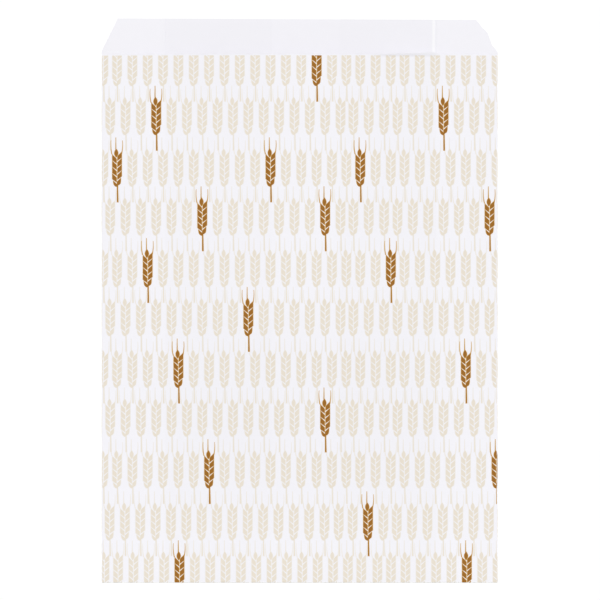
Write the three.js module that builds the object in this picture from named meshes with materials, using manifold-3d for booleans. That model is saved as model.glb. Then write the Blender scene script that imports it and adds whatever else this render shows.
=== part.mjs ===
// A bakery bag of thin white paper, lying flat on its back with its mouth towards +Y.
// One web of paper is folded into a tube with a gusset down each side, lapped and glued along
// the back, cut so that the back stands above the front as a lip, and turned under and glued
// at the bottom. Units are millimetres, +Z is up, and the origin is on the table under the
// middle of the bag.
import * as THREE from "three";
import Module from "manifold-3d";

// The flat bag
const BAG_WIDTH = 200; // edge fold to edge fold
const BAG_LENGTH = 285; // bottom fold to the top of the lip
const LIP = 18; // how far the back panel stands above the front panel
const GUSSET = 31; // depth of each gusset, edge fold to inner fold
const HEM = 6; // length of every ply that is turned under at the bottom
const SEAM_CENTRE = 2.9; // the lapped seam runs a little right of the middle of the back
const SEAM_LAP = 34; // width over which the two edges of the web lie on each other

// The paper and its glue
const PAPER = 0.06; // caliper of 40 g/m2 bleached kraft
const PLY_GAP = 0.04; // air or glue between two plies that lie on each other
const GLUE_BITE = 0.015; // how far a glue film soaks into the ply on each side of it
const SEAM_GLUE = 24; // width of the glue film inside the lap
const TONGUE_GLUE = 9; // width of the glue film under the turned-up front panel
const GLUE_MARGIN = 4; // bare paper at the ends of a glue film

// How the bag lies
const ARCH = 6.5; // height to which the springy front panel arches up between its edge folds
const ARCH_LENGTH = 120; // distance over which the arch grows towards the mouth from nothing
const HEM_SLOPE = 3; // length of the slope where the back panel steps down off a ply edge
const LAP_SLOPE = 1; // width of the slope where the inner edge of the lap climbs over the outer
const EDGE_STRIP = 1; // width of the strip of front panel where its cut meets the gusset's cut

// The knife line at the two corners of the mouth: distance in from the edge fold, and height
// above the front panel's edge as a share of the lip. The right corner is a ragged cut.
const LEFT_CORNER = [
  [0, 0.05],
  [8.6, 1],
];
const RIGHT_CORNER = [
  [0, 0.05],
  [0.4, 0.1],
  [3.3, 0.35],
  [4.9, 0.53],
  [6.1, 0.65],
  [8.7, 0.81],
  [10.4, 1],
];

// Fineness of the facets
const CREASE_STEPS = 3;
const HEM_FOLD_STEPS = 6;
const ARCH_ROWS = 9;
const FRONT_COLUMNS = 16;

// What follows from the sizes above
const PLY = PAPER + PLY_GAP; // from the middle of one ply to the middle of the next
const CREASE = PLY / 2; // radius of a closed fold, at the middle of the paper
const FLAT_GAP = 3 * PLY; // back panel to front panel where the four plies lie closed
const HALF_WIDTH = BAG_WIDTH / 2;
const PANEL_END = HALF_WIDTH - CREASE; // where a panel runs into its edge fold
const LAP_LEFT = SEAM_CENTRE - SEAM_LAP / 2;
const LAP_RIGHT = SEAM_CENTRE + SEAM_LAP / 2;
const TONGUE = HEM + LIP; // length of front panel turned under: the knife left it longer

// The bottom fold turns every ply about one line, the back panel innermost.
const FOLD_RADIUS = CREASE;
const OUTER_RADIUS = FOLD_RADIUS + FLAT_GAP;
const FOLD_Z = OUTER_RADIUS + PAPER / 2;
const FOLD_Y = -BAG_LENGTH / 2 + FOLD_Z;
const FRONT_EDGE = BAG_LENGTH / 2 - LIP;
const HEM_END = FOLD_Y + HEM + PAPER;
const TONGUE_END = FOLD_Y + TONGUE;
const ARCH_START = TONGUE_END + HEM_SLOPE;

// Height of a bent line given as [position, height] pairs, level beyond its ends.
function bentLine(pairs, at) {
  if (at <= pairs[0][0]) return pairs[0][1];
  for (let i = 1; i < pairs.length; i++) {
    const [[x0, y0], [x1, y1]] = [pairs[i - 1], pairs[i]];
    if (at <= x1) return THREE.MathUtils.mapLinear(at, x0, x1, y0, y1);
  }
  return pairs.at(-1)[1];
}

// Height of the back panel's middle: up on the turned-under plies, then on the tongue alone,
// then on the table.
const backHeight = (y) =>
  bentLine(
    [
      [HEM_END, FOLD_Z + FOLD_RADIUS],
      [HEM_END + HEM_SLOPE, PAPER / 2 + PLY],
      [TONGUE_END, PAPER / 2 + PLY],
      [ARCH_START, PAPER / 2],
    ],
    y,
  );

// Height of the front panel's arch at y: none where the plies are glued closed.
const archHeight = (y) =>
  ARCH * THREE.MathUtils.smoothstep(y, ARCH_START, ARCH_START + ARCH_LENGTH);

// A section of the folded tube has its origin on the middle of the back panel, and its columns
// follow the web of paper. spot() gives one place of a column, with the direction that points
// out of the printed side.
const spot = (x, h, outX, outH) => ({ x, h, outX, outH });

// A column on one of a gusset's folds: turn runs from 0 to 1 round it, from the lower ply to
// the upper one. An edge fold points outwards (1) and the inner fold inwards (-1).
function foldColumn(corner, inset, centreX, centreH, turn, pointing) {
  const angle = Math.PI * (turn - 0.5);
  const [dx, dh] = [pointing * Math.cos(angle), Math.sin(angle)];
  const place = () =>
    spot(centreX + CREASE * dx, centreH + CREASE * dh, pointing * dx, pointing * dh);
  return { place, corner, inset, isFront: false };
}

// A column on one of a gusset's two plies. The printed side of the lower one faces up, into
// the pocket, and that of the upper one faces down.
const plyColumn = (corner, inset, isUpper) => ({
  place: () => spot(HALF_WIDTH - inset, isUpper ? 2 * PLY : PLY, 0, isUpper ? -1 : 1),
  corner,
  inset,
  isFront: false,
});

// The columns of the gusset on the right-hand side, from the back panel round to the front.
function gussetColumns(corner) {
  const turns = Array.from({ length: CREASE_STEPS + 1 }, (_, i) => i / CREASE_STEPS);
  const insets = corner.slice(1).map(([inset]) => inset);
  const innerFold = HALF_WIDTH - GUSSET + CREASE;
  return [
    ...turns.map((t) => foldColumn(corner, 0, PANEL_END, PLY / 2, t, 1)),
    ...insets.map((inset) => plyColumn(corner, inset, false)),
    ...turns.map((t) => foldColumn(corner, GUSSET, innerFold, 1.5 * PLY, t, -1)),
    ...insets.toReversed().map((inset) => plyColumn(corner, inset, true)),
    ...turns.map((t) => foldColumn(corner, 0, PANEL_END, 2.5 * PLY, t, 1)),
  ];
}

// The same columns on the left-hand side.
const mirrored = (columns) =>
  columns.map((column) => ({
    ...column,
    place: (arch) => {
      const { x, h, outX, outH } = column.place(arch);
      return spot(-x, h, -outX, outH);
    },
  }));

// A column of the back panel at x, lifted by the ply under it where it is the lap's inner side.
const backColumn = (x, corner, lift = 0) => ({
  place: () => spot(x, lift, 0, -1),
  corner,
  inset: HALF_WIDTH - Math.abs(x),
  isFront: false,
});

// A column of the front panel.
const frontColumn = (x) => ({
  place: (arch) => spot(x, FLAT_GAP + arch * (1 - (x / PANEL_END) ** 2), 0, 1),
  isFront: true,
});

// Every column of the web: from its outer edge in the lap, round the bag, to its inner edge.
function webColumns() {
  const cornerColumns = (corner) =>
    corner.slice(1).map(([inset]) => backColumn(HALF_WIDTH - inset, corner));
  const stripEnd = PANEL_END - EDGE_STRIP;
  const front = Array.from({ length: FRONT_COLUMNS + 1 }, (_, i) =>
    frontColumn(THREE.MathUtils.lerp(-stripEnd, stripEnd, i / FRONT_COLUMNS)),
  );
  return [
    backColumn(LAP_RIGHT, LEFT_CORNER),
    ...mirrored(cornerColumns(LEFT_CORNER)).toReversed(),
    ...mirrored(gussetColumns(LEFT_CORNER)),
    ...front,
    ...gussetColumns(RIGHT_CORNER).toReversed(),
    ...cornerColumns(RIGHT_CORNER),
    backColumn(LAP_RIGHT + LAP_SLOPE, RIGHT_CORNER),
    backColumn(LAP_RIGHT, RIGHT_CORNER, PLY),
    backColumn(LAP_LEFT, RIGHT_CORNER, PLY),
  ];
}

// Height of the knife line above the front panel's edge, in one column.
const cutRise = (column) =>
  column.isFront ? 0 : LIP * bentLine(column.corner, column.inset);

// The rows of the sheet run from the ends that are turned under, round the bottom fold, and
// up the body to the mouth. Each row says where it puts a place of the section.
function foldedUnder({ x, h, outX, outH }, angle, beyond) {
  const radius = FOLD_RADIUS + h;
  const [sin, cos] = [Math.sin(angle), Math.cos(angle)];
  return {
    point: new THREE.Vector3(x, FOLD_Y + beyond - radius * sin, FOLD_Z + radius * cos),
    out: new THREE.Vector3(outX, -outH * sin, outH * cos),
  };
}

const hemEndRow = () => (column) =>
  foldedUnder(column.place(0), Math.PI, column.isFront ? TONGUE : HEM);

const foldRow = (angle) => (column) => foldedUnder(column.place(0), angle, 0);

function inBody(column, y) {
  const { x, h, outX, outH } = column.place(archHeight(y));
  return {
    point: new THREE.Vector3(x, y, backHeight(y) + h),
    out: new THREE.Vector3(outX, 0, outH),
  };
}

const bodyRow = (y) => (column) => inBody(column, y);

const mouthRow = () => (column) => inBody(column, FRONT_EDGE + cutRise(column));

function bodyHeights() {
  const arch = Array.from(
    { length: ARCH_ROWS },
    (_, i) => ARCH_START + (ARCH_LENGTH * i) / (ARCH_ROWS - 1),
  );
  return [HEM_END, HEM_END + HEM_SLOPE, TONGUE_END, ...arch, FRONT_EDGE - EDGE_STRIP];
}

function sheetRows() {
  const angles = Array.from(
    { length: HEM_FOLD_STEPS + 1 },
    (_, i) => Math.PI * (1 - i / HEM_FOLD_STEPS),
  );
  return [hemEndRow(), ...angles.map(foldRow), ...bodyHeights().map(bodyRow), mouthRow()];
}

// A closed shell of even thickness about a grid of places.
function thickSheet(columns, rows, thickness) {
  const places = rows.map((row) => columns.map((column) => row(column)));
  const across = columns.length;
  const layer = across * rows.length;
  const positions = [1, -1].flatMap((side) =>
    places.flat().flatMap(({ point, out }) =>
      point.clone().addScaledVector(out, (side * thickness) / 2).toArray(),
    ),
  );
  const faces = [];
  const addQuad = (a, b, c, d) => faces.push(a, b, c, a, c, d);
  for (let j = 0; j + 1 < rows.length; j++) {
    for (let i = 0; i + 1 < across; i++) {
      const a = j * across + i;
      addQuad(a, a + 1, a + 1 + across, a + across);
      addQuad(layer + a, layer + a + across, layer + a + 1 + across, layer + a + 1);
    }
  }
  for (let i = 0; i + 1 < across; i++) {
    const top = (rows.length - 1) * across + i;
    addQuad(i, layer + i, layer + i + 1, i + 1);
    addQuad(top, top + 1, layer + top + 1, layer + top);
  }
  for (let j = 0; j + 1 < rows.length; j++) {
    const left = j * across;
    const right = left + across - 1;
    addQuad(left, left + across, layer + left + across, layer + left);
    addQuad(right, layer + right, layer + right + across, right + across);
  }
  return new THREE.BufferGeometry()
    .setAttribute("position", new THREE.Float32BufferAttribute(positions, 3))
    .setIndex(faces);
}

// The film of glue in the lap lies between its two plies, and follows the back panel.
function seamGlue() {
  const half = SEAM_GLUE / 2;
  const columns = [SEAM_CENTRE + half, SEAM_CENTRE - half].map((x) =>
    backColumn(x, RIGHT_CORNER, PLY / 2),
  );
  const ends = [FOLD_Y + GLUE_MARGIN, BAG_LENGTH / 2 - GLUE_MARGIN];
  const heights = bodyHeights().filter((y) => y > ends[0] && y < ends[1]);
  const rows = [ends[0], ...heights, ends[1]].map(bodyRow);
  return thickSheet(columns, rows, PLY_GAP + 2 * GLUE_BITE);
}

// The film of glue between the back panel and the tongue of front panel turned up over it.
function tongueGlue() {
  const film = new THREE.BoxGeometry(
    BAG_WIDTH - 2 * GLUE_MARGIN,
    TONGUE_GLUE,
    PLY_GAP + 2 * GLUE_BITE,
  );
  const y = TONGUE_END - EDGE_STRIP - TONGUE_GLUE / 2;
  return film.translate(0, y, PAPER / 2 + PLY / 2);
}

const wasm = await Module();
wasm.setup();

// A closed geometry as a solid that can be joined to others.
function solid(geometry) {
  const places = geometry.getAttribute("position");
  const merged = new Map();
  const vertices = [];
  const renamed = Array.from({ length: places.count }, (_, i) => {
    const place = new THREE.Vector3().fromBufferAttribute(places, i).toArray();
    const key = place.join();
    if (!merged.has(key)) {
      merged.set(key, merged.size);
      vertices.push(...place);
    }
    return merged.get(key);
  });
  return new wasm.Manifold(
    new wasm.Mesh({
      numProp: 3,
      vertProperties: new Float32Array(vertices),
      triVerts: Uint32Array.from(geometry.index.array, (v) => renamed[v]),
    }),
  );
}

function geometryOf(joined) {
  const { numProp, vertProperties, triVerts } = joined.getMesh();
  const positions = new THREE.InterleavedBuffer(vertProperties, numProp);
  return new THREE.BufferGeometry()
    .setAttribute("position", new THREE.InterleavedBufferAttribute(positions, 3, 0))
    .setIndex(new THREE.BufferAttribute(triVerts, 1))
    .toNonIndexed();
}

const whitePaper = new THREE.MeshStandardMaterial({
  color: "#f3f3f8",
  roughness: 0.72,
  metalness: 0,
});

const sheet = solid(thickSheet(webColumns(), sheetRows(), PAPER));
const glued = sheet.add(solid(seamGlue())).add(solid(tongueGlue()));
const geometry = geometryOf(glued);
geometry.computeVertexNormals();

const paperBag = new THREE.Mesh(geometry, whitePaper);
paperBag.name = "paper_bag";

const bag = new THREE.Group();
bag.add(paperBag);

export default bag;
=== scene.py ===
import math

import bpy
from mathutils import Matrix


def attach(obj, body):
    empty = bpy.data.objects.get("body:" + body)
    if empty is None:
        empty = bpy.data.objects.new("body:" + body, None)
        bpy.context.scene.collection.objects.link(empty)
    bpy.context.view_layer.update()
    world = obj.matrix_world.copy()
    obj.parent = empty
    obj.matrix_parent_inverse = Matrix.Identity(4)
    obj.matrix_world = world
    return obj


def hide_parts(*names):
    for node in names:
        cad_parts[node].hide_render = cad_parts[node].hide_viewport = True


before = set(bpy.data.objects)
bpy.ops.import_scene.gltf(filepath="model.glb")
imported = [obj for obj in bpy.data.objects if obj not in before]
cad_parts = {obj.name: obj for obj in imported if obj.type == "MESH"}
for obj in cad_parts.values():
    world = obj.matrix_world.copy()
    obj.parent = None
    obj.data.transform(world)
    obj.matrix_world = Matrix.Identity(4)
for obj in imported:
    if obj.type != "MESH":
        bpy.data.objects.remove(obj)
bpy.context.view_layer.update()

MM = 0.001
WHITE = (1.0, 1.0, 1.0, 1.0)
# A node that mixes colours has five sockets for other things between its factor and them, and
# its third output is the mixed colour
TO_COLOURS = [None] * 5
MIXED = 2

# Sizes of the bag, in millimetres
BAG_WIDTH = 200.0
BAG_LENGTH = 285.0
LIP = 18.0
LIP_LEFT, LIP_RIGHT = 18.25, 17.4  # the knife ran a little askew along the top of the lip
GUSSET_LEFT, GUSSET_RIGHT = 32.0, 31.0
HEM = 6.0
SEAM_CENTRE = 2.9
SEAM_LAP = 34.0
LAP_STEP = 1.0  # the web's inner edge climbs onto its outer edge over this width
PAPER = 0.06
PLY = 0.1  # from the middle of one ply to the middle of the next
CREASE = PLY / 2  # radius of a pressed fold
FLAT_GAP = 3 * PLY  # from the back panel to the front panel, with a gusset in between

# How the bag lies: its edge folds are pressed, and the springy front panel arches up
# between them, more and more towards the mouth
ARCH = 6.2
ARCH_LENGTH = 120.0
HEM_SLOPE = 3.0  # past each edge of what is turned under, the plies come down over this length
SQUARENESS = 0.6  # a pressed bottom fold is squarer than a circle, for which this would be 1
RIGHT_FOLD_STANDS = 0.16  # the right gusset's inner fold isn't pressed quite flat
RIGHT_FOLD_FADES = 1.1  # so far from that fold, the paper stands up about a third as much

# Faint long waves of thin paper that has been handled: how high each one is, and the sines
# that are multiplied in it, with their turn per millimetre across and along, and their start
WAVES = [
    (0.10, [(0.061, 0.043, 0.7), (-0.019, 0.027, 1.9)]),
    (0.05, [(0.13, -0.071, 2.4)]),
    (0.04, [(0.047, 0.152, 4.1)]),
]
WAVES_GROW = 30.0  # over this width from each edge fold

# To the left of the right gusset the cut edge of the front panel curls up a little and reaches
# further over the lip. Both are given by how far they go, and by where across the panel they
# start, over what width they grow, where they end, and over what width they go back.
CURL = (0.6, (34.0, 12.0, 71.0, 4.0))
CURL_STARTS, CURL_LENGTH = 1.3, 1.8  # below the cut edge, and from there on
REACHES = [(0.5, (42.0, 8.0, 70.0, 2.0)), (0.6, (58.0, 9.0, 69.5, 1.5))]

# The edge folds are rolled over rather than sharp: seen from above, the last third of a
# millimetre of the front panel holds this much more of the print
ROLL = 0.35
ROLLED = 1.8

# The knife line at the corners of the mouth: distance in from the edge fold, and height as a
# share of the lip. The right corner is torn along a ragged line.
LEFT_CORNER = [(0, 0.11), (8.1, 1)]
RIGHT_CORNER = [
    (0, 0.07), (0.5, 0.12), (1.3, 0.175), (2.1, 0.23), (2.9, 0.29), (3.2, 0.36), (3.75, 0.43),
    (4.3, 0.52), (4.9, 0.61), (6.1, 0.7), (7.9, 0.785), (9.2, 0.9), (10.8, 1),
]

# Places that follow from the sizes
HALF_WIDTH = BAG_WIDTH / 2
PANEL_END = HALF_WIDTH - CREASE
LAP_LEFT = SEAM_CENTRE - SEAM_LAP / 2
LAP_RIGHT = SEAM_CENTRE + SEAM_LAP / 2
FOLD_Z = CREASE + FLAT_GAP + PAPER / 2  # the axis of the bottom fold
FOLD_Y = FOLD_Z - BAG_LENGTH / 2
FRONT_EDGE = BAG_LENGTH / 2 - LIP
HEM_END = FOLD_Y + HEM + PAPER
TONGUE = HEM + LIP  # the front panel stops a lip lower at the mouth, so it is a lip longer here
TONGUE_END = FOLD_Y + TONGUE
ARCH_START = TONGUE_END + HEM_SLOPE

# How finely the sheet is divided: in facets round a fold, and elsewhere in millimetres
GUSSET_FOLD_FACETS = 4
BOTTOM_FOLD_FACETS = 12
SHARP_ANGLE = 50.0  # in degrees; facets that meet at less than this look smooth
BACK_STEP = 8.0
FRONT_STEP = 2.0
ROW_STEP = 3.0
GUSSET_COLUMNS = {14.0, 22.0, 27.0, 29.0, 29.9, 30.5}  # in from the edge fold
BACK_COLUMNS = {14.0, 22.0, 31.0}
BACK_STEPS_START = 40.0
ROLL_COLUMN = 0.12
FIRST_ROW = 0.2  # above the bottom fold's axis
ROWS_STOP = 2.0  # below the front panel's cut edge, where the rows come closer together
MOUTH_ROWS = [1.7, 1.3, 0.9, 0.45]

# The print: rows of wheat ears, every second row moved by about half a repeat
REPEAT_ACROSS = 7.761
REPEAT_DOWN = 25.412
FIRST_EAR_X = -92.31
FIRST_EAR_Y = 117.03
ODD_ROWS_HIGHER = 0.69
ODD_ROW_SHIFT = 0.444  # of a repeat, towards the left
# The last rows of the plate are set askew: each row with how far to the left and how far down
ROWS_ASKEW = {9: (0.34, 1.71), 10: (-0.53, 0.36)}
# The plate is pieced together from strips: where across the web each joint is, and how much
# further left the ears on its far side from the first ear stand, or further right if it is
# below 0. First the joints of the even rows, then those of the odd ones.
JOINTS = (
    [(-95.6, -0.84), (20.0, 0.52), (27.1, 0.71), (42.4, 0.09), (49.6, 0.86)],
    [(23.9, 1.27), (46.2, 0.98)],
)
# Four ears near the joints went on askew: row and place in the row, and how far to the left
STRAY_EARS = {(9, 15): 0.56, (10, 15): -0.3, (10, 17): -0.4, (10, 18): 0.4}
# Every so often an ear is printed in full brown: its row and its place in the row
BROWN_EARS = {
    0: [13], 1: [3, 22], 2: [0, 10, 16], 3: [6, 14, 25], 4: [2, 18], 5: [9],
    6: [4, 23], 7: [14], 8: [6, 25], 9: [17], 10: [4, 23],
}
# The choice of brown ears comes round again after so many columns and rows
COLUMNS_ROUND = 28
ROWS_ROUND = 12
SAME_COUNT = 0.1  # two counts that are closer than this are the same

# One ear of wheat, in millimetres from its middle. Its grains stand in two files and slant up
# and outwards.
EAR_HALF_WIDTH = 2.449
GRAIN_EVERY = 3.186
GRAIN_SLOPE = 0.74  # rise for each millimetre outwards
GRAIN_EDGE = 2.883  # where the lower edge of one of the left grains would cross the middle
GRAIN_HEIGHT = 2.521  # at the middle
GRAIN_GROWS = 0.204  # in height, for each millimetre outwards
RIGHT_GRAINS_HIGHER = 1.369
HALF_PARTING = 0.165  # half the gap between the files
LOWEST_GRAINS = -3 * GRAIN_EVERY  # the two lowest grains lie below this, from that lower edge
LOWEST_JOINED = 0.4  # they run together, with no gap between them
LOWEST_NARROWER = 0.463
TOP_EDGE = 5.25  # the upper edge of the highest left grain, at the middle
TOP_SLOPE = 1.135  # its rise for each millimetre outwards
TOP_RIGHT_HIGHER = 1.333
FOOT_STARTS = -5.003  # from here down the outline is drawn in
FOOT_RIGHT_HIGHER = 0.353
FOOT_HEIGHT = 3.715
FOOT_SQUARENESS = 2.9
FOOT_END = -8.7
# The grain at the tip
TIP_X, TIP_Y = -0.394, 8.382
TIP_HALF_WIDTH, TIP_HALF_HEIGHT = 1.011, 2.233
# The stem, which leans and thickens by so much for each millimetre down
STEM_X = 0.119
STEM_LEAN = 0.012
STEM_HALF_WIDTH = 0.162
STEM_THICKENS = 0.014
STEM_TOP, STEM_END = -6.6, -16.45
# The three awns, which get thinner by so much for each millimetre up
AWN_THINS = 0.02
TIP_AWN_X = -0.602
TIP_AWN_HALF_WIDTH = 0.391  # as it would be at the middle of the ear
TIP_AWN_START, TIP_AWN_END = 9.5, 16.15
SIDE_AWNS_X = -0.16  # half way between the two
SIDE_AWNS_OUT = 3.004  # how far out they are where they bow out most
SIDE_AWNS_BOW_Y = 12.65  # where that is
SIDE_AWNS_BOW = 0.024  # they come in by this much times the square of the distance from there
SIDE_AWN_HALF_WIDTH = 0.322
SIDE_AWNS_START, SIDE_AWNS_END = 7.8, 14.65

# Colours. Each ink has one where its film is half as thick, and one where it is full.
PALE_INK = ("#efebe6", "#e8dfd0")
BROWN_INK = ("#cfa34f", "#996524")
PAPER_OVER_TABLE = "#f2f1f6"
PAPER_STACKED = "#f6f5fa"

# The paper
LEFT_BY_A_PLY = 0.68  # of the difference between one ply on the table and a thick stack
GUSSET_BLUR = 0.2  # half the width over which the tone changes, in mm
LAP_LEFT_BLUR = 0.15
LAP_RIGHT_BLUR = 0.9
CLOUDS_SHARE = 0.5  # how much the clouds change the tone
# Noise patterns: their size in millimetres, how many finer layers they have, and how strong
# each layer is beside the one before
CLOUDS = (4.545, 3.0, 0.6)
FIBRES = (0.5556, 4.0, 0.65)  # real ones are 0.03 mm wide, and are drawn coarser so that they show
INK_PATCHES = (1.111, 2.0, 0.5)  # these too are drawn coarser than they are, so that they show
FIBRE_HEIGHT = 0.02  # in mm
FIBRES_SHARE = 0.25  # how strongly they show
GLAZED, UNGLAZED = 0.6, 0.7  # roughness of the two sides
SHINE = 0.1
INK_EDGE = 0.46  # width over which the film of ink thins out to nothing, in mm
THINNEST_FILM = 0.96  # beside the full film
PATCHES_LOW, PATCHES_HIGH = 0.3, 0.7  # the noise from its low to its high places
# Painted highlight: a strip along the mouth of the front panel is left without ink, for the light on its
# cut edge
HIGHLIGHT_RIM = 0.59  # along the mouth of the front panel, in mm
RIM_PAST_EDGE = 0.4  # how far it goes on past the rolled edge folds
# Painted light along the bottom fold, which lifts its shade where it turns away from the lamp: how wide, in
# mm, and how much whiter
FOLD_HALF_WIDTH = 0.1
FOLD_PAINTED_LIGHT = 0.8
# A painted highlight along a crease on the bare side, for the light its ridge catches
FIRST_CREASE = 67.8  # to the right of the middle
FIRST_CREASE_INNER, FIRST_CREASE_OUTER = 0.3, 1.1  # whitest within the first, and no whiter past the second
CREASE_HIGHLIGHT_STRENGTH = 0.48

# The room, in metres and degrees
ROOM_LIGHT = 0.36  # share of the light that comes from all round; the rest comes from above
LAMP_TILT = 14.0
LAMP_ANGLE = 40.0  # how wide the lamp looks from the bag
TABLE_HALF_SIZE = 3.0
TABLE_WHITE = 0.9  # as it lights the bag
TABLE_ROUGHNESS = 0.9
OVEREXPOSED = 0.42  # share of the table's white that no shadow takes away
OVER_WHITE = 0.02  # a little past white, so that no grey is left
SENSOR_WIDTH = 36.0  # like the lens, in mm
LENS = 600.0
VIEW_WIDTH = 0.3034  # on the table, in metres
EYE_X, EYE_Y = 0.00019, 0.00033


# The folded web of paper
def bent_line(pairs, at):
    """Goes from pair to pair in straight lines, and stays level before and after them."""
    if at <= pairs[0][0]:
        return pairs[0][1]
    for (x0, y0), (x1, y1) in zip(pairs, pairs[1:]):
        if at <= x1:
            return y0 + (y1 - y0) * (at - x0) / (x1 - x0)
    return pairs[-1][1]


def smooth(t):
    t = min(max(t, 0.0), 1.0)
    return t * t * (3 - 2 * t)


def swell(x, start, grows, end, goes_back):
    """0 up to the start, then 1, and 0 again from the end on, with smooth slopes."""
    return smooth((x - start) / grows) * smooth((end - x) / goes_back)


def back_height(y):
    """How high the back panel lies over the table, to the middle of its paper."""
    return bent_line([
        (HEM_END, FOLD_Z + CREASE),
        (HEM_END + HEM_SLOPE, PAPER / 2 + PLY),
        (TONGUE_END, PAPER / 2 + PLY),
        (ARCH_START, PAPER / 2),
    ], y)


def arch_share(y):
    return smooth((y - ARCH_START) / ARCH_LENGTH)


def fold_place(side, centre_x, low, high, turn, pointing):
    """A place on one of a gusset's folds, between its lower and its upper ply. turn runs from
    0 to 1 round it. An edge fold points outwards (1) and the inner fold inwards (-1)."""
    radius = (high - low) / 2
    angle = math.pi * (turn - 0.5)
    dx, dh = pointing * math.cos(angle), math.sin(angle)
    x, h = centre_x + radius * dx, low + radius + radius * dh
    return side * x, h, side * pointing * dx, pointing * dh


def stands_up(side, inset, y):
    """How far a place of the upper gusset ply stands above where it would lie if pressed."""
    if side < 0:
        return 0.0
    fades = math.exp((inset - GUSSET_RIGHT) / RIGHT_FOLD_FADES)
    return RIGHT_FOLD_STANDS * arch_share(y) * fades


def ripple(x, y):
    total = 0.0
    for height, sines in WAVES:
        for across, along, start in sines:
            height *= math.sin(across * x + along * y + start)
        total += height
    return total


def curl_at_mouth(x, y):
    height, across = CURL
    return height * swell(x, *across) * smooth((y - FRONT_EDGE + CURL_STARTS) / CURL_LENGTH)


class Column:
    """One line of the web, from its bottom end to its mouth end. place gives for a y its x,
    how high it lies over the back panel, and which way is outwards, in x and in height."""

    def __init__(self, place, corner=None, inset=0.0, front=False):
        self.place = place
        self.corner = corner
        self.inset = inset
        self.front = front


def column_insets(corner, others):
    """Distances in from the edge fold: a column at each bend of the knife line, and others."""
    return sorted({inset for inset, _ in corner if inset > 0} | others)


def gusset_columns(side, corner):
    """From the back panel round to the front panel."""
    turns = [i / GUSSET_FOLD_FACETS for i in range(GUSSET_FOLD_FACETS + 1)]
    depth = GUSSET_RIGHT if side > 0 else GUSSET_LEFT
    insets = column_insets(corner, GUSSET_COLUMNS)
    inner = HALF_WIDTH - depth + CREASE

    def edge(turn, low):
        return lambda y: fold_place(side, PANEL_END, low, low + PLY, turn, 1)

    def middle(turn):
        return lambda y: fold_place(
            side, inner, PLY, 2 * PLY + stands_up(side, depth, y), turn, -1)

    def lower(inset):
        return lambda y: (side * (HALF_WIDTH - inset), PLY, 0.0, 1.0)

    def upper(inset):
        return lambda y: (
            side * (HALF_WIDTH - inset), 2 * PLY + stands_up(side, inset, y), 0.0, -1.0)

    columns = [Column(edge(t, 0.0), corner) for t in turns]
    columns += [Column(lower(i), corner, i) for i in insets]
    columns += [Column(middle(t), corner, depth) for t in turns]
    columns += [Column(upper(i), corner, i) for i in reversed(insets)]
    columns += [Column(edge(t, 2 * PLY), corner) for t in turns]
    return columns


def back_column(x, corner, lift=0.0):
    return Column(lambda y: (x, lift, 0.0, -1.0), corner, HALF_WIDTH - abs(x))


def front_column(x):
    def place(y):
        share = arch_share(y)
        arch = ARCH * share * (1 - (x / PANEL_END) ** 2)
        waves = share * smooth((PANEL_END - abs(x)) / WAVES_GROW) * ripple(x, y)
        return x, FLAT_GAP + arch + waves + curl_at_mouth(x, y), 0.0, 1.0
    return Column(place, front=True)


def steps(start, end, step):
    """Even steps of about this size, at least two, from the start to the end."""
    count = max(2, round(abs(end - start) / step))
    return [start + (end - start) * i / count for i in range(count + 1)]


def web_columns():
    """Every column, from the web's outer edge in the lap round to its inner edge."""
    left_insets = column_insets(LEFT_CORNER, BACK_COLUMNS)
    right_insets = column_insets(RIGHT_CORNER, BACK_COLUMNS)
    back_left = steps(LAP_RIGHT, BACK_STEPS_START - HALF_WIDTH, BACK_STEP)
    back_right = steps(HALF_WIDTH - BACK_STEPS_START, LAP_RIGHT + LAP_STEP, BACK_STEP)
    front = steps(ROLL - PANEL_END, PANEL_END - ROLL, FRONT_STEP)
    front = [ROLL_COLUMN - PANEL_END] + front + [PANEL_END - ROLL_COLUMN]

    columns = [back_column(x, LEFT_CORNER) for x in back_left]
    columns += [back_column(i - HALF_WIDTH, LEFT_CORNER) for i in reversed(left_insets)]
    columns += gusset_columns(-1, LEFT_CORNER)
    columns += [front_column(x) for x in front]
    columns += list(reversed(gusset_columns(1, RIGHT_CORNER)))
    columns += [back_column(HALF_WIDTH - i, RIGHT_CORNER) for i in right_insets]
    columns += [back_column(x, RIGHT_CORNER) for x in back_right]
    columns += [back_column(x, RIGHT_CORNER, PLY) for x in steps(LAP_RIGHT, LAP_LEFT, BACK_STEP)]
    return columns


def cut_y(column):
    """Where the knife ended a column, at the mouth."""
    x = column.place(FRONT_EDGE)[0]
    if column.front:
        return FRONT_EDGE + sum(reach * swell(x, *across) for reach, across in REACHES)
    lip = LIP_LEFT + (LIP_RIGHT - LIP_LEFT) * (x + HALF_WIDTH) / BAG_WIDTH
    return FRONT_EDGE + lip * bent_line(column.corner, column.inset)


def turned_rows(columns):
    """The rows of what is turned under, from its ends to the top of the bottom fold. Each row
    has for every column its point, which way is outwards, and the place along the web."""
    turns = [(math.pi, 1.0), (math.pi, 0.5)]
    turns += [(math.pi * (1 - i / BOTTOM_FOLD_FACETS), 0.0) for i in range(BOTTOM_FOLD_FACETS + 1)]
    rows = []
    for angle, share in turns:
        sin, cos = math.sin(angle), math.cos(angle)
        out = abs(sin) ** SQUARENESS
        up = math.copysign(abs(cos) ** SQUARENESS, cos)
        row = []
        for column in columns:
            x, h, out_x, out_h = column.place(FOLD_Y)
            radius = CREASE + h
            beyond = share * (TONGUE if column.front else HEM)
            point = (x, FOLD_Y + beyond - radius * out, FOLD_Z + radius * up)
            outwards = (out_x, -out_h * sin, out_h * cos)
            row.append((point, outwards, FOLD_Y - radius * angle - beyond))
        rows.append(row)
    return rows


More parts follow.
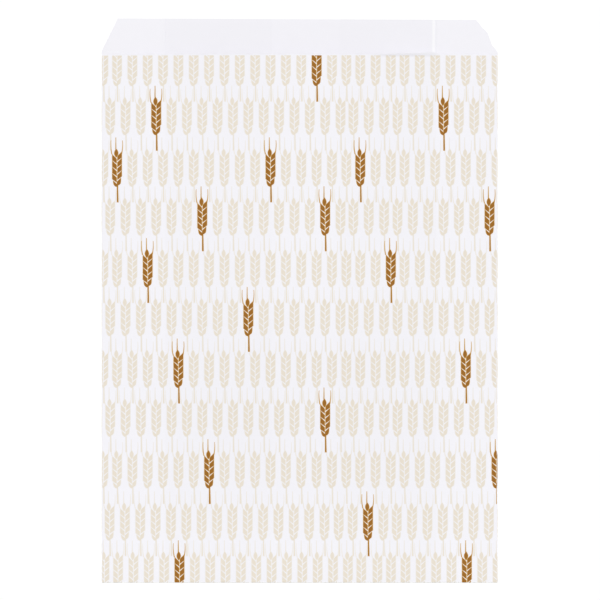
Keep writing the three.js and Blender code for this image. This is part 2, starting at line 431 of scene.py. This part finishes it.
def flat_rows(columns):
    """The rows from the bottom fold to the mouth, with the same things in each."""
    even_rows = int((FRONT_EDGE - ROWS_STOP - ARCH_START) / ROW_STEP)
    row_ys = [FOLD_Y + FIRST_ROW, HEM_END, HEM_END + HEM_SLOPE, TONGUE_END, ARCH_START]
    row_ys += [ARCH_START + ROW_STEP * i for i in range(1, even_rows + 1)]
    row_ys += [FRONT_EDGE - below for below in MOUTH_ROWS]
    column_ys = [[y] * len(columns) for y in row_ys]
    column_ys.append([cut_y(column) for column in columns])
    rows = []
    for ys in column_ys:
        row = []
        for column, y in zip(columns, ys):
            x, h, out_x, out_h = column.place(y)
            row.append(((x, y, back_height(y) + h), (out_x, 0.0, out_h), y))
        rows.append(row)
    return rows


def web_distances(columns):
    """How far each column lies from the middle of the front panel, round the web."""
    flat = [column.place(FOLD_Y)[:2] for column in columns]
    along = [0.0]
    for (x0, h0), (x1, h1) in zip(flat, flat[1:]):
        along.append(along[-1] + math.hypot(x1 - x0, h1 - h0))
    fronts = [i for i, column in enumerate(columns) if column.front]
    middle = (along[fronts[0]] + along[fronts[-1]]) / 2
    distances = []
    for a in along:
        rolled = ROLLED * min(max((abs(a - middle) - PANEL_END) / ROLL + 1, 0.0), 1.0)
        distances.append(a - middle + math.copysign(rolled, a - middle))
    return distances


def sheet_faces(across, along):
    """The faces of a closed sheet of across by along points, with the points of its inner side
    after those of its outer side. Each face has 0 if it is on the outer side, and else 1."""
    inner = across * along
    faces = []
    for j in range(along - 1):
        for i in range(across - 1):
            a = j * across + i
            b = a + across
            faces.append(((a, a + 1, b + 1, b), 0))
            faces.append(((inner + a, inner + b, inner + b + 1, inner + a + 1), 1))
    for i in range(across - 1):
        top = (along - 1) * across + i
        faces.append(((i, inner + i, inner + i + 1, i + 1), 1))
        faces.append(((top, top + 1, inner + top + 1, inner + top), 1))
    for j in range(along - 1):
        left = j * across
        right = left + across - 1
        faces.append(((left, left + across, inner + left + across, inner + left), 1))
        faces.append(((right, inner + right, inner + right + across, right + across), 1))
    return faces


def make_bag():
    columns = web_columns()
    rows = turned_rows(columns) + flat_rows(columns)
    distances = web_distances(columns)
    points, web = [], []
    for half in (PAPER / 2, -PAPER / 2):
        for row in rows:
            for (point, outwards, along), distance in zip(row, distances):
                points.append([(p + half * o) * MM for p, o in zip(point, outwards)])
                web.append((distance * MM, along * MM))
    faces = sheet_faces(len(columns), len(rows))
    mesh = bpy.data.meshes.new("folded_web")
    mesh.from_pydata(points, [], [corners for corners, _ in faces])
    web_map = mesh.uv_layers.new(name="web")
    for loop in mesh.loops:
        web_map.data[loop.index].uv = web[loop.vertex_index]
    for polygon, (_, side) in zip(mesh.polygons, faces):
        polygon.material_index = side
        polygon.use_smooth = True
    mesh.set_sharp_from_angle(angle=math.radians(SHARP_ANGLE))
    bag = bpy.data.objects.new("folded_bag", mesh)
    bpy.context.scene.collection.objects.link(bag)
    return bag


# Materials
def linear(hex_colour):
    """An sRGB hex value as Blender's linear colour."""
    channels = [int(hex_colour[i:i + 2], 16) / 255 for i in (1, 3, 5)]
    return [c / 12.92 if c <= 0.04045 else ((c + 0.055) / 1.055) ** 2.4 for c in channels] + [1.0]


def add_node(tree, kind, *inputs, **settings):
    """Adds a node. Each input is None, a plain value, a socket, or a node, whose first
    output is then taken."""
    node = tree.nodes.new("ShaderNode" + kind)
    for name, value in settings.items():
        setattr(node, name, value)
    for socket, value in zip(node.inputs, inputs):
        if value is None:
            continue
        if isinstance(value, bpy.types.Node):
            value = value.outputs[0]
        if isinstance(value, bpy.types.NodeSocket):
            tree.links.new(value, socket)
        else:
            socket.default_value = value
    return node


def wheat_ear(tree, x, y):
    """How far a place lies inside the ear of wheat, in mm, below 0 outside it. x and y are
    measured from the middle of the ear, in mm."""
    # Where it lies in its grain: over the lower edge, under the upper one, and off the parting
    aside = add_node(tree, "Math", x, operation="ABSOLUTE")
    right = add_node(tree, "Math", x, 0.0, operation="GREATER_THAN")
    slant = add_node(tree, "Math", aside, -GRAIN_SLOPE, -GRAIN_EDGE, operation="MULTIPLY_ADD")
    slant = add_node(tree, "Math", right, -RIGHT_GRAINS_HIGHER, slant, operation="MULTIPLY_ADD")
    above = add_node(tree, "Math", y, slant, operation="ADD")
    in_grain = add_node(tree, "Math", above, GRAIN_EVERY, operation="FLOORED_MODULO")
    tall = add_node(tree, "Math", aside, GRAIN_GROWS, GRAIN_HEIGHT, operation="MULTIPLY_ADD")
    below_next = add_node(tree, "Math", tall, in_grain, operation="SUBTRACT")
    lowest = add_node(tree, "Math", above, LOWEST_GRAINS, operation="LESS_THAN")
    parting = add_node(tree, "Math", aside, HALF_PARTING, operation="SUBTRACT")
    parting = add_node(tree, "Math", lowest, LOWEST_JOINED, parting, operation="MULTIPLY_ADD")
    shoulder = add_node(tree, "Math", aside, TOP_SLOPE, TOP_EDGE, operation="MULTIPLY_ADD")
    shoulder = add_node(tree, "Math", right, TOP_RIGHT_HIGHER, shoulder, operation="MULTIPLY_ADD")
    under_top = add_node(tree, "Math", shoulder, y, operation="SUBTRACT")

    # The outline of the files has straight sides and is drawn in round the lowest grains
    foot = add_node(tree, "Math", right, FOOT_RIGHT_HIGHER, FOOT_STARTS, operation="MULTIPLY_ADD")
    foot = add_node(tree, "Math", foot, y, operation="SUBTRACT")
    foot = add_node(tree, "Math", foot, FOOT_HEIGHT, operation="DIVIDE", use_clamp=True)
    foot = add_node(tree, "Math", foot, FOOT_SQUARENESS, operation="POWER")
    rounded = add_node(tree, "Math", 1.0, foot, operation="SUBTRACT")
    rounded = add_node(tree, "Math", rounded, operation="SQRT")
    half = add_node(tree, "Math", lowest, -LOWEST_NARROWER, EAR_HALF_WIDTH,
                    operation="MULTIPLY_ADD")
    half = add_node(tree, "Math", rounded, half, operation="MULTIPLY")
    above_foot = add_node(tree, "Math", y, FOOT_END, operation="SUBTRACT")
    files = add_node(tree, "Math", half, aside, operation="SUBTRACT")
    for limit in (in_grain, below_next, parting, under_top, above_foot):
        files = add_node(tree, "Math", files, limit, operation="MINIMUM")

    # The grain at the tip, a leaf shape
    up = add_node(tree, "Math", y, TIP_Y, operation="SUBTRACT")
    up = add_node(tree, "Math", up, TIP_HALF_HEIGHT, operation="DIVIDE")
    up = add_node(tree, "Math", up, up, operation="MULTIPLY")
    leaf = add_node(tree, "Math", up, -TIP_HALF_WIDTH, TIP_HALF_WIDTH, operation="MULTIPLY_ADD")
    to_tip = add_node(tree, "Math", x, TIP_X, operation="SUBTRACT")
    to_tip = add_node(tree, "Math", to_tip, operation="ABSOLUTE")
    tip = add_node(tree, "Math", leaf, to_tip, operation="SUBTRACT")

    # The stem leans a little and thickens towards its lower end
    to_stem = add_node(tree, "Math", y, STEM_LEAN, -STEM_X, operation="MULTIPLY_ADD")
    to_stem = add_node(tree, "Math", x, to_stem, operation="ADD")
    to_stem = add_node(tree, "Math", to_stem, operation="ABSOLUTE")
    stem = add_node(tree, "Math", y, -STEM_THICKENS, STEM_HALF_WIDTH, operation="MULTIPLY_ADD")
    stem = add_node(tree, "Math", stem, to_stem, operation="SUBTRACT")

    # Three awns, thinner towards their ends: one on the tip, and one bowed out on each side
    to_awn = add_node(tree, "Math", x, TIP_AWN_X, operation="SUBTRACT")
    to_awn = add_node(tree, "Math", to_awn, operation="ABSOLUTE")
    awn = add_node(tree, "Math", y, -AWN_THINS, TIP_AWN_HALF_WIDTH, operation="MULTIPLY_ADD")
    awn = add_node(tree, "Math", awn, to_awn, operation="SUBTRACT")
    bow = add_node(tree, "Math", y, SIDE_AWNS_BOW_Y, operation="SUBTRACT")
    bow = add_node(tree, "Math", bow, bow, operation="MULTIPLY")
    bow = add_node(tree, "Math", bow, -SIDE_AWNS_BOW, SIDE_AWNS_OUT, operation="MULTIPLY_ADD")
    beside = add_node(tree, "Math", x, SIDE_AWNS_X, operation="SUBTRACT")
    beside = add_node(tree, "Math", beside, operation="ABSOLUTE")
    to_bow = add_node(tree, "Math", beside, bow, operation="SUBTRACT")
    to_bow = add_node(tree, "Math", to_bow, operation="ABSOLUTE")
    bowed = add_node(tree, "Math", y, -AWN_THINS, SIDE_AWN_HALF_WIDTH, operation="MULTIPLY_ADD")
    bowed = add_node(tree, "Math", bowed, to_bow, operation="SUBTRACT")

    ear = add_node(tree, "Math", files, tip, operation="MAXIMUM")
    for line, lower_end, upper_end in ((stem, STEM_END, STEM_TOP),
                                       (awn, TIP_AWN_START, TIP_AWN_END),
                                       (bowed, SIDE_AWNS_START, SIDE_AWNS_END)):
        over = add_node(tree, "Math", y, lower_end, operation="SUBTRACT")
        under = add_node(tree, "Math", upper_end, y, operation="SUBTRACT")
        line = add_node(tree, "Math", line, over, operation="MINIMUM")
        line = add_node(tree, "Math", line, under, operation="MINIMUM")
        ear = add_node(tree, "Math", ear, line, operation="MAXIMUM")
    return ear


def wheat_rows(tree, across, down, parity):
    """The ears of every second row, the even ones (0) or the odd ones (1): where there is ink,
    and where that ink is brown. across and down count repeats of the print."""
    pair = add_node(tree, "Math", down, -parity, operation="ADD")
    pair = add_node(tree, "Math", pair, 0.5, operation="MULTIPLY")
    pair = add_node(tree, "Math", pair, operation="ROUND")
    row = add_node(tree, "Math", pair, 2.0, float(parity), operation="MULTIPLY_ADD")
    y = add_node(tree, "Math", row, down, operation="SUBTRACT")
    y = add_node(tree, "Math", y, REPEAT_DOWN, -parity * ODD_ROWS_HIGHER,
                 operation="MULTIPLY_ADD")
    row = add_node(tree, "Math", row, float(ROWS_ROUND), operation="FLOORED_MODULO")
    shifted = add_node(tree, "Math", across, parity * ODD_ROW_SHIFT, operation="ADD")
    for joint, left in JOINTS[parity]:
        far_side = "GREATER_THAN" if joint > FIRST_EAR_X else "LESS_THAN"
        beyond = add_node(tree, "Math", across, (joint - FIRST_EAR_X) / REPEAT_ACROSS,
                          operation=far_side)
        shifted = add_node(tree, "Math", beyond, left / REPEAT_ACROSS, shifted,
                           operation="MULTIPLY_ADD")
    for askew, (left, lower) in ROWS_ASKEW.items():
        if askew % 2 != parity:
            continue
        here = add_node(tree, "Math", row, float(askew), SAME_COUNT, operation="COMPARE")
        shifted = add_node(tree, "Math", here, left / REPEAT_ACROSS, shifted,
                           operation="MULTIPLY_ADD")
        y = add_node(tree, "Math", here, lower, y, operation="MULTIPLY_ADD")
    column = add_node(tree, "Math", shifted, operation="ROUND")
    x = add_node(tree, "Math", shifted, column, operation="SUBTRACT")
    x = add_node(tree, "Math", x, REPEAT_ACROSS, operation="MULTIPLY")
    for (stray_row, stray_column), left in STRAY_EARS.items():
        if stray_row % 2 != parity:
            continue
        here = add_node(tree, "Math", column, float(stray_column), SAME_COUNT,
                        operation="COMPARE")
        in_row = add_node(tree, "Math", row, float(stray_row), SAME_COUNT, operation="COMPARE")
        here = add_node(tree, "Math", here, in_row, operation="MULTIPLY")
        x = add_node(tree, "Math", here, left, x, operation="MULTIPLY_ADD")

    # The film of ink is half as thick along the outline of the ear
    inside = wheat_ear(tree, x, y)
    printed = add_node(tree, "Math", inside, 1 / INK_EDGE, 0.5, operation="MULTIPLY_ADD",
                       use_clamp=True)
    column = add_node(tree, "Math", column, float(COLUMNS_ROUND), operation="FLOORED_MODULO")
    brown = 0.0
    for brown_row, brown_columns in BROWN_EARS.items():
        if brown_row % 2 != parity:
            continue
        in_row = add_node(tree, "Math", row, float(brown_row), SAME_COUNT, operation="COMPARE")
        for brown_column in brown_columns:
            here = add_node(tree, "Math", column, float(brown_column), SAME_COUNT,
                            operation="COMPARE")
            brown = add_node(tree, "Math", here, in_row, brown, operation="MULTIPLY_ADD")
    brown = add_node(tree, "Math", printed, brown, operation="MULTIPLY")
    return printed, brown


def paper_tone(tree, place, plies_under):
    """Thin bleached paper lets a part of the light through to what lies under it, so it looks
    whiter where more plies lie under it: in the lap and over the gussets."""
    x = add_node(tree, "SeparateXYZ", place).outputs["X"]
    left_fold = GUSSET_LEFT - HALF_WIDTH
    right_fold = HALF_WIDTH - GUSSET_RIGHT
    left = add_node(tree, "MapRange", x, (left_fold + GUSSET_BLUR) * MM,
                    (left_fold - GUSSET_BLUR) * MM)
    right = add_node(tree, "MapRange", x, (right_fold - GUSSET_BLUR) * MM,
                     (right_fold + GUSSET_BLUR) * MM)
    gusset = add_node(tree, "Math", left, right, operation="ADD")
    lap_start = add_node(tree, "MapRange", x, (LAP_LEFT - LAP_LEFT_BLUR) * MM,
                         (LAP_LEFT + LAP_LEFT_BLUR) * MM)
    lap_end = add_node(tree, "MapRange", x, (LAP_RIGHT + LAP_RIGHT_BLUR) * MM,
                       (LAP_RIGHT - LAP_RIGHT_BLUR) * MM)
    lap = add_node(tree, "Math", lap_start, lap_end, operation="MULTIPLY")
    count = add_node(tree, "Math", gusset, 2.0, lap, operation="MULTIPLY_ADD")
    count = add_node(tree, "Math", count, plies_under, operation="ADD")
    shown = add_node(tree, "Math", LEFT_BY_A_PLY, count, operation="POWER")
    # Formation: fibres lie in faint clouds of a few millimetres
    size, layers, layer_share = CLOUDS
    clouds = add_node(tree, "TexNoise", place, None, 1 / (size * MM), layers, layer_share)
    uneven = add_node(tree, "Math", clouds, 0.5, operation="SUBTRACT")
    shown = add_node(tree, "Math", uneven, CLOUDS_SHARE, shown, operation="MULTIPLY_ADD",
                     use_clamp=True)
    return add_node(tree, "Mix", shown, *TO_COLOURS, linear(PAPER_STACKED),
                    linear(PAPER_OVER_TABLE), data_type="RGBA").outputs[MIXED]


def painted_crease_highlight(tree, place, colour):
    """A painted highlight on the bare side: a whiter line along a crease a little in from the right
    gusset's inner fold, standing in for the light that the crease's ridge catches."""
    x = add_node(tree, "SeparateXYZ", place).outputs["X"]
    to_crease = add_node(tree, "Math", x, FIRST_CREASE * MM, operation="SUBTRACT")
    to_crease = add_node(tree, "Math", to_crease, operation="ABSOLUTE")
    painted_highlight = add_node(tree, "MapRange", to_crease, FIRST_CREASE_OUTER * MM,
                       FIRST_CREASE_INNER * MM, 0.0, CREASE_HIGHLIGHT_STRENGTH)
    return add_node(tree, "Mix", painted_highlight, *TO_COLOURS, colour, WHITE,
                    data_type="RGBA").outputs[MIXED]


def wheat_print(tree, place, colour):
    """Water-based ink from a rubber relief plate. It lies a little uneven on the fibres, and
    its film thins out at the edges, so that there it is paler."""
    web = add_node(tree, "SeparateXYZ", add_node(tree, "UVMap", uv_map="web")).outputs
    # Painted light: the paper is whiter along the bottom fold, to lift the shade where the fold turns away
    # from the lamp
    folded = add_node(tree, "MapRange", web["Y"], (FOLD_Y + FOLD_HALF_WIDTH) * MM,
                      (FOLD_Y - FOLD_HALF_WIDTH) * MM, 0.0, FOLD_PAINTED_LIGHT)
    colour = add_node(tree, "Mix", folded, *TO_COLOURS, colour, WHITE,
                      data_type="RGBA").outputs[MIXED]
    across = add_node(tree, "Math", web["X"], 1 / (REPEAT_ACROSS * MM),
                      -FIRST_EAR_X / REPEAT_ACROSS, operation="MULTIPLY_ADD")
    down = add_node(tree, "Math", web["Y"], -1 / (REPEAT_DOWN * MM),
                    FIRST_EAR_Y / REPEAT_DOWN, operation="MULTIPLY_ADD")
    even_ink, even_brown = wheat_rows(tree, across, down, 0)
    odd_ink, odd_brown = wheat_rows(tree, across, down, 1)
    inked = add_node(tree, "Math", even_ink, odd_ink, operation="MAXIMUM")
    brown = add_node(tree, "Math", even_brown, odd_brown, operation="MAXIMUM")
    # Painted highlight: no ink on a rim along the mouth of the front panel, whose plain paper stands in for
    # the light on the cut edge
    round_web = add_node(tree, "Math", web["X"], operation="ABSOLUTE")
    on_front = add_node(tree, "Math", round_web, (HALF_WIDTH + ROLLED + RIM_PAST_EDGE) * MM,
                        operation="LESS_THAN")
    rim = add_node(tree, "Math", web["Y"], (FRONT_EDGE - HIGHLIGHT_RIM) * MM,
                   operation="GREATER_THAN")
    rim = add_node(tree, "Math", rim, on_front, operation="MULTIPLY")
    clear = add_node(tree, "Math", 1.0, rim, operation="SUBTRACT")
    size, layers, layer_share = INK_PATCHES
    patchy = add_node(tree, "TexNoise", place, None, 1 / (size * MM), layers, layer_share)
    patchy = add_node(tree, "MapRange", patchy, PATCHES_LOW, PATCHES_HIGH, THINNEST_FILM, 1.0)
    for film, (half_thick, full) in ((inked, PALE_INK), (brown, BROWN_INK)):
        film = add_node(tree, "Math", film, clear, operation="MULTIPLY")
        film = add_node(tree, "Math", film, patchy, operation="MULTIPLY")
        for start, ink in ((0.0, half_thick), (0.5, full)):
            share = add_node(tree, "MapRange", film, start, start + 0.5)
            colour = add_node(tree, "Mix", share, *TO_COLOURS, colour, linear(ink),
                              data_type="RGBA").outputs[MIXED]
    return colour


def make_paper(name, printed):
    """Machine-glazed bleached kraft of 40 g/m2: dried against a polished cylinder, so its
    outer side has a low satin gloss and its inner side is duller, with fine fibres in both."""
    material = bpy.data.materials.new(name)
    material.use_nodes = True
    tree = material.node_tree
    shader = tree.nodes["Principled BSDF"]
    place = add_node(tree, "TexCoord").outputs["Object"]
    # Seen from above, the printed front panel lies on the back panel, and the bare lip on the
    # table
    colour = paper_tone(tree, place, 1.0 if printed else 0.0)
    colour = wheat_print(tree, place, colour) if printed else painted_crease_highlight(tree, place, colour)
    tree.links.new(colour, shader.inputs["Base Color"])
    shader.inputs["Roughness"].default_value = GLAZED if printed else UNGLAZED
    shader.inputs["Specular IOR Level"].default_value = SHINE
    size, layers, layer_share = FIBRES
    fibres = add_node(tree, "TexNoise", place, None, 1 / (size * MM), layers, layer_share)
    bump = add_node(tree, "Bump", FIBRES_SHARE, FIBRE_HEIGHT * MM, None, fibres)
    tree.links.new(bump.outputs[0], shader.inputs["Normal"])
    return material


# The table and the light
def shows_background(tree):
    """1 for a ray that comes from the camera, straight or by way of something shiny or clear,
    and 0 for the rays that light the bag."""
    ray = add_node(tree, "LightPath").outputs
    shown = add_node(tree, "Math", ray["Is Camera Ray"], ray["Is Glossy Ray"],
                     operation="MAXIMUM")
    return add_node(tree, "Math", shown, ray["Is Transmission Ray"], operation="MAXIMUM")


def make_table():
    """A board painted matt white, with no shine at all. It is overexposed, as a white
    background is: it looks just white, and the shadows on it are faint."""
    half = TABLE_HALF_SIZE
    mesh = bpy.data.meshes.new("table")
    mesh.from_pydata([(-half, -half, 0), (half, -half, 0), (half, half, 0), (-half, half, 0)],
                     [], [(0, 1, 2, 3)])
    table = bpy.data.objects.new("table", mesh)
    bpy.context.scene.collection.objects.link(table)
    material = bpy.data.materials.new("white_table")
    material.use_nodes = True
    tree = material.node_tree
    shader = tree.nodes["Principled BSDF"]
    shader.inputs["Roughness"].default_value = TABLE_ROUGHNESS
    shader.inputs["Specular IOR Level"].default_value = 0.0
    shader.inputs["Emission Color"].default_value = WHITE
    shown = shows_background(tree)
    white = add_node(tree, "MapRange", shown, 0.0, 1.0, TABLE_WHITE, 1 - OVEREXPOSED)
    tree.links.new(white.outputs[0], shader.inputs["Base Color"])
    added = add_node(tree, "Math", shown, OVEREXPOSED + OVER_WHITE, operation="MULTIPLY")
    tree.links.new(added.outputs[0], shader.inputs["Emission Strength"])
    table.data.materials.append(material)


def make_room():
    """White light from all round, white behind the bag, and a wide lamp above it."""
    world = bpy.data.worlds.new("white_room")
    bpy.context.scene.world = world
    world.use_nodes = True
    tree = world.node_tree
    background = tree.nodes["Background"]
    background.inputs["Color"].default_value = WHITE
    strength = add_node(tree, "Math", shows_background(tree), 1 - ROOM_LIGHT, ROOM_LIGHT,
                        operation="MULTIPLY_ADD")
    tree.links.new(strength.outputs[0], background.inputs["Strength"])
    tilt = math.radians(LAMP_TILT)
    lamp = bpy.data.lights.new("softbox_above", "SUN")
    lamp.energy = (1 - ROOM_LIGHT) * math.pi / math.cos(tilt)
    lamp.angle = math.radians(LAMP_ANGLE)
    above = bpy.data.objects.new("softbox_above", lamp)
    above.location = (0, 0, 1)
    above.rotation_euler = (-tilt, 0, 0)
    bpy.context.scene.collection.objects.link(above)


def make_camera():
    """Straight above the bag, far off with a long lens."""
    camera = bpy.data.cameras.new("camera")
    camera.sensor_width = SENSOR_WIDTH
    camera.lens = LENS
    eye = bpy.data.objects.new("camera", camera)
    eye.location = (EYE_X, EYE_Y, VIEW_WIDTH * LENS / SENSOR_WIDTH)
    bpy.context.scene.collection.objects.link(eye)
    bpy.context.scene.camera = eye


make_camera()
make_room()
make_table()

bag = make_bag()
bag.data.materials.append(make_paper("printed_side", True))
bag.data.materials.append(make_paper("bare_side", False))
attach(bag, "root")
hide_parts("paper_bag")

bpy.context.scene.view_settings.view_transform = "Standard"
